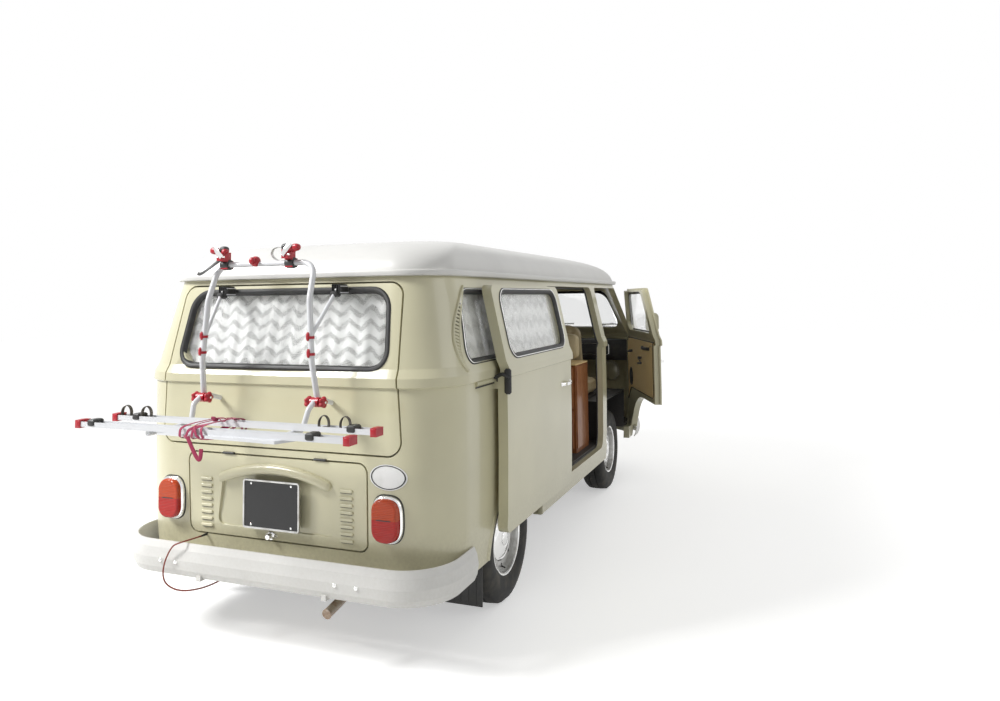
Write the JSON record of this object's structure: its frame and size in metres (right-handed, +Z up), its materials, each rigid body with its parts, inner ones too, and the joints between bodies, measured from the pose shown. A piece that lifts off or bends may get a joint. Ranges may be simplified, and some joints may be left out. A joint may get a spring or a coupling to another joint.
{
  "type": "camper van",
  "caption": "Rear-engined camper van with rounded box body, sliding side door, opening tailgate and engine lid, steerable front wheels and a folding bicycle carrier.",
  "frame": {"origin": "on the ground under the middle of the whole outline", "axes": "+Y forwards, +X to the van's right, +Z up"},
  "size_m": [2.3748, 4.785, 1.9395],
  "materials": {
    "cream_paint": "gloss, lightly weathered",
    "white_paint": "gloss",
    "black_steel": "satin chassis paint",
    "bare_metal": "dull, oxidised",
    "glass": "clear",
    "lamp_red": "translucent",
    "lamp_clear": "fluted",
    "tyre": "matt",
    "silver_rim": "silver paint with bright cap",
    "alloy": "anodised",
    "black_plastic": "matt",
    "red_plastic": "gloss",
    "rubber": "matt",
    "wood": "varnished veneer",
    "vinyl": "grained vinyl",
    "lace": "open crochet",
    "dash": "grained",
    "engine_metal": "oily",
    "lead_sheath": "smooth",
    "plate": "blank, gloss"
  },
  "bodies": {
    "body": {"tail_panel": "cream_paint", "nose_panel": "cream_paint", "side_left": "cream_paint", "side_right": "cream_paint", "roof": "white_paint", "sliding_door": "cream_paint", "side_glass": "glass", "windscreen": "glass", "wheel_houses": "black_steel", "floor_pan": "cream_paint", "engine_bay": "cream_paint", "rear_bumper": "white_paint", "front_bumper": "white_paint", "engine": "engine_metal", "gearbox": "engine_metal", "exhaust": "bare_metal", "front_axle": "black_steel", "rear_axle": "black_steel", "tail_lamps": "lamp_red", "front_lamps": "lamp_clear", "air_grille": "black_plastic", "cab_seats": "vinyl", "dashboard": "dash", "steering_wheel": "black_plastic", "furniture": "wood", "bed_cushions": "vinyl", "side_curtains": "lace", "mud_flaps": "rubber", "lead": "lead_sheath"},
    "hatch": {"hatch": "cream_paint", "hatch_glass": "glass", "hatch_curtain": "lace", "carrier_frame": "alloy", "carrier_channels": "alloy", "carrier_clamps": "red_plastic"},
    "engine_lid": {"engine_lid": "cream_paint", "number_plate": "plate"},
    "cab_door_left": {"cab_door_left": "cream_paint", "cab_glass_left": "glass"},
    "cab_door_right": {"cab_door_right": "cream_paint", "cab_glass_right": "glass"},
    "knuckle_left": {"knuckle_left": "black_steel"},
    "knuckle_right": {"knuckle_right": "black_steel"},
    "wheel_front_left": {"tyre_front_left": "tyre", "rim_front_left": "silver_rim"},
    "wheel_front_right": {"tyre_front_right": "tyre", "rim_front_right": "silver_rim"},
    "wheel_rear_left": {"tyre_rear_left": "tyre", "rim_rear_left": "silver_rim"},
    "wheel_rear_right": {"tyre_rear_right": "tyre", "rim_rear_right": "silver_rim"}
  },
  "joints": [
    {"name": "hatch_lift", "type": "hinge", "parent": "body", "child": "hatch", "pos_m": [-0.107, -1.83, 1.686], "axis": [-1, 0, 0], "range_deg": [0, 80]},
    {"name": "lid_lift", "type": "hinge", "parent": "body", "child": "engine_lid", "pos_m": [-0.107, -1.928, 0.884], "axis": [-1, 0, 0], "range_deg": [0, 70]},
    {"name": "cab_door_left_swing", "type": "hinge", "parent": "body", "child": "cab_door_left", "pos_m": [-0.9915, 1.958, 0.9], "axis": [0, 0, -1], "range_deg": [0, 65]},
    {"name": "cab_door_right_swing", "type": "hinge", "parent": "body", "child": "cab_door_right", "pos_m": [0.7775, 1.958, 0.9], "axis": [0, 0, 1], "range_deg": [-24, 41]},
    {"name": "steer_left", "type": "hinge", "parent": "body", "child": "knuckle_left", "pos_m": [-0.707, 1.378, 0.325], "axis": [0, 0, 1], "range_deg": [-28, 28]},
    {"name": "steer_right", "type": "hinge", "parent": "body", "child": "knuckle_right", "pos_m": [0.493, 1.378, 0.325], "axis": [0, 0, 1], "range_deg": [-28, 28]},
    {"name": "spin_front_left", "type": "hinge", "parent": "knuckle_left", "child": "wheel_front_left", "pos_m": [-0.799, 1.378, 0.325], "axis": [-1, 0, 0], "continuous": true},
    {"name": "spin_front_right", "type": "hinge", "parent": "knuckle_right", "child": "wheel_front_right", "pos_m": [0.585, 1.378, 0.325], "axis": [-1, 0, 0], "continuous": true},
    {"name": "spin_rear_left", "type": "hinge", "parent": "body", "child": "wheel_rear_left", "pos_m": [-0.82, -1.022, 0.325], "axis": [-1, 0, 0], "continuous": true},
    {"name": "spin_rear_right", "type": "hinge", "parent": "body", "child": "wheel_rear_right", "pos_m": [0.606, -1.022, 0.325], "axis": [-1, 0, 0], "continuous": true}
  ],
  "couplings": [
    {"joint": "steer_right", "follows": "steer_left", "ratio": 1}
  ]
}
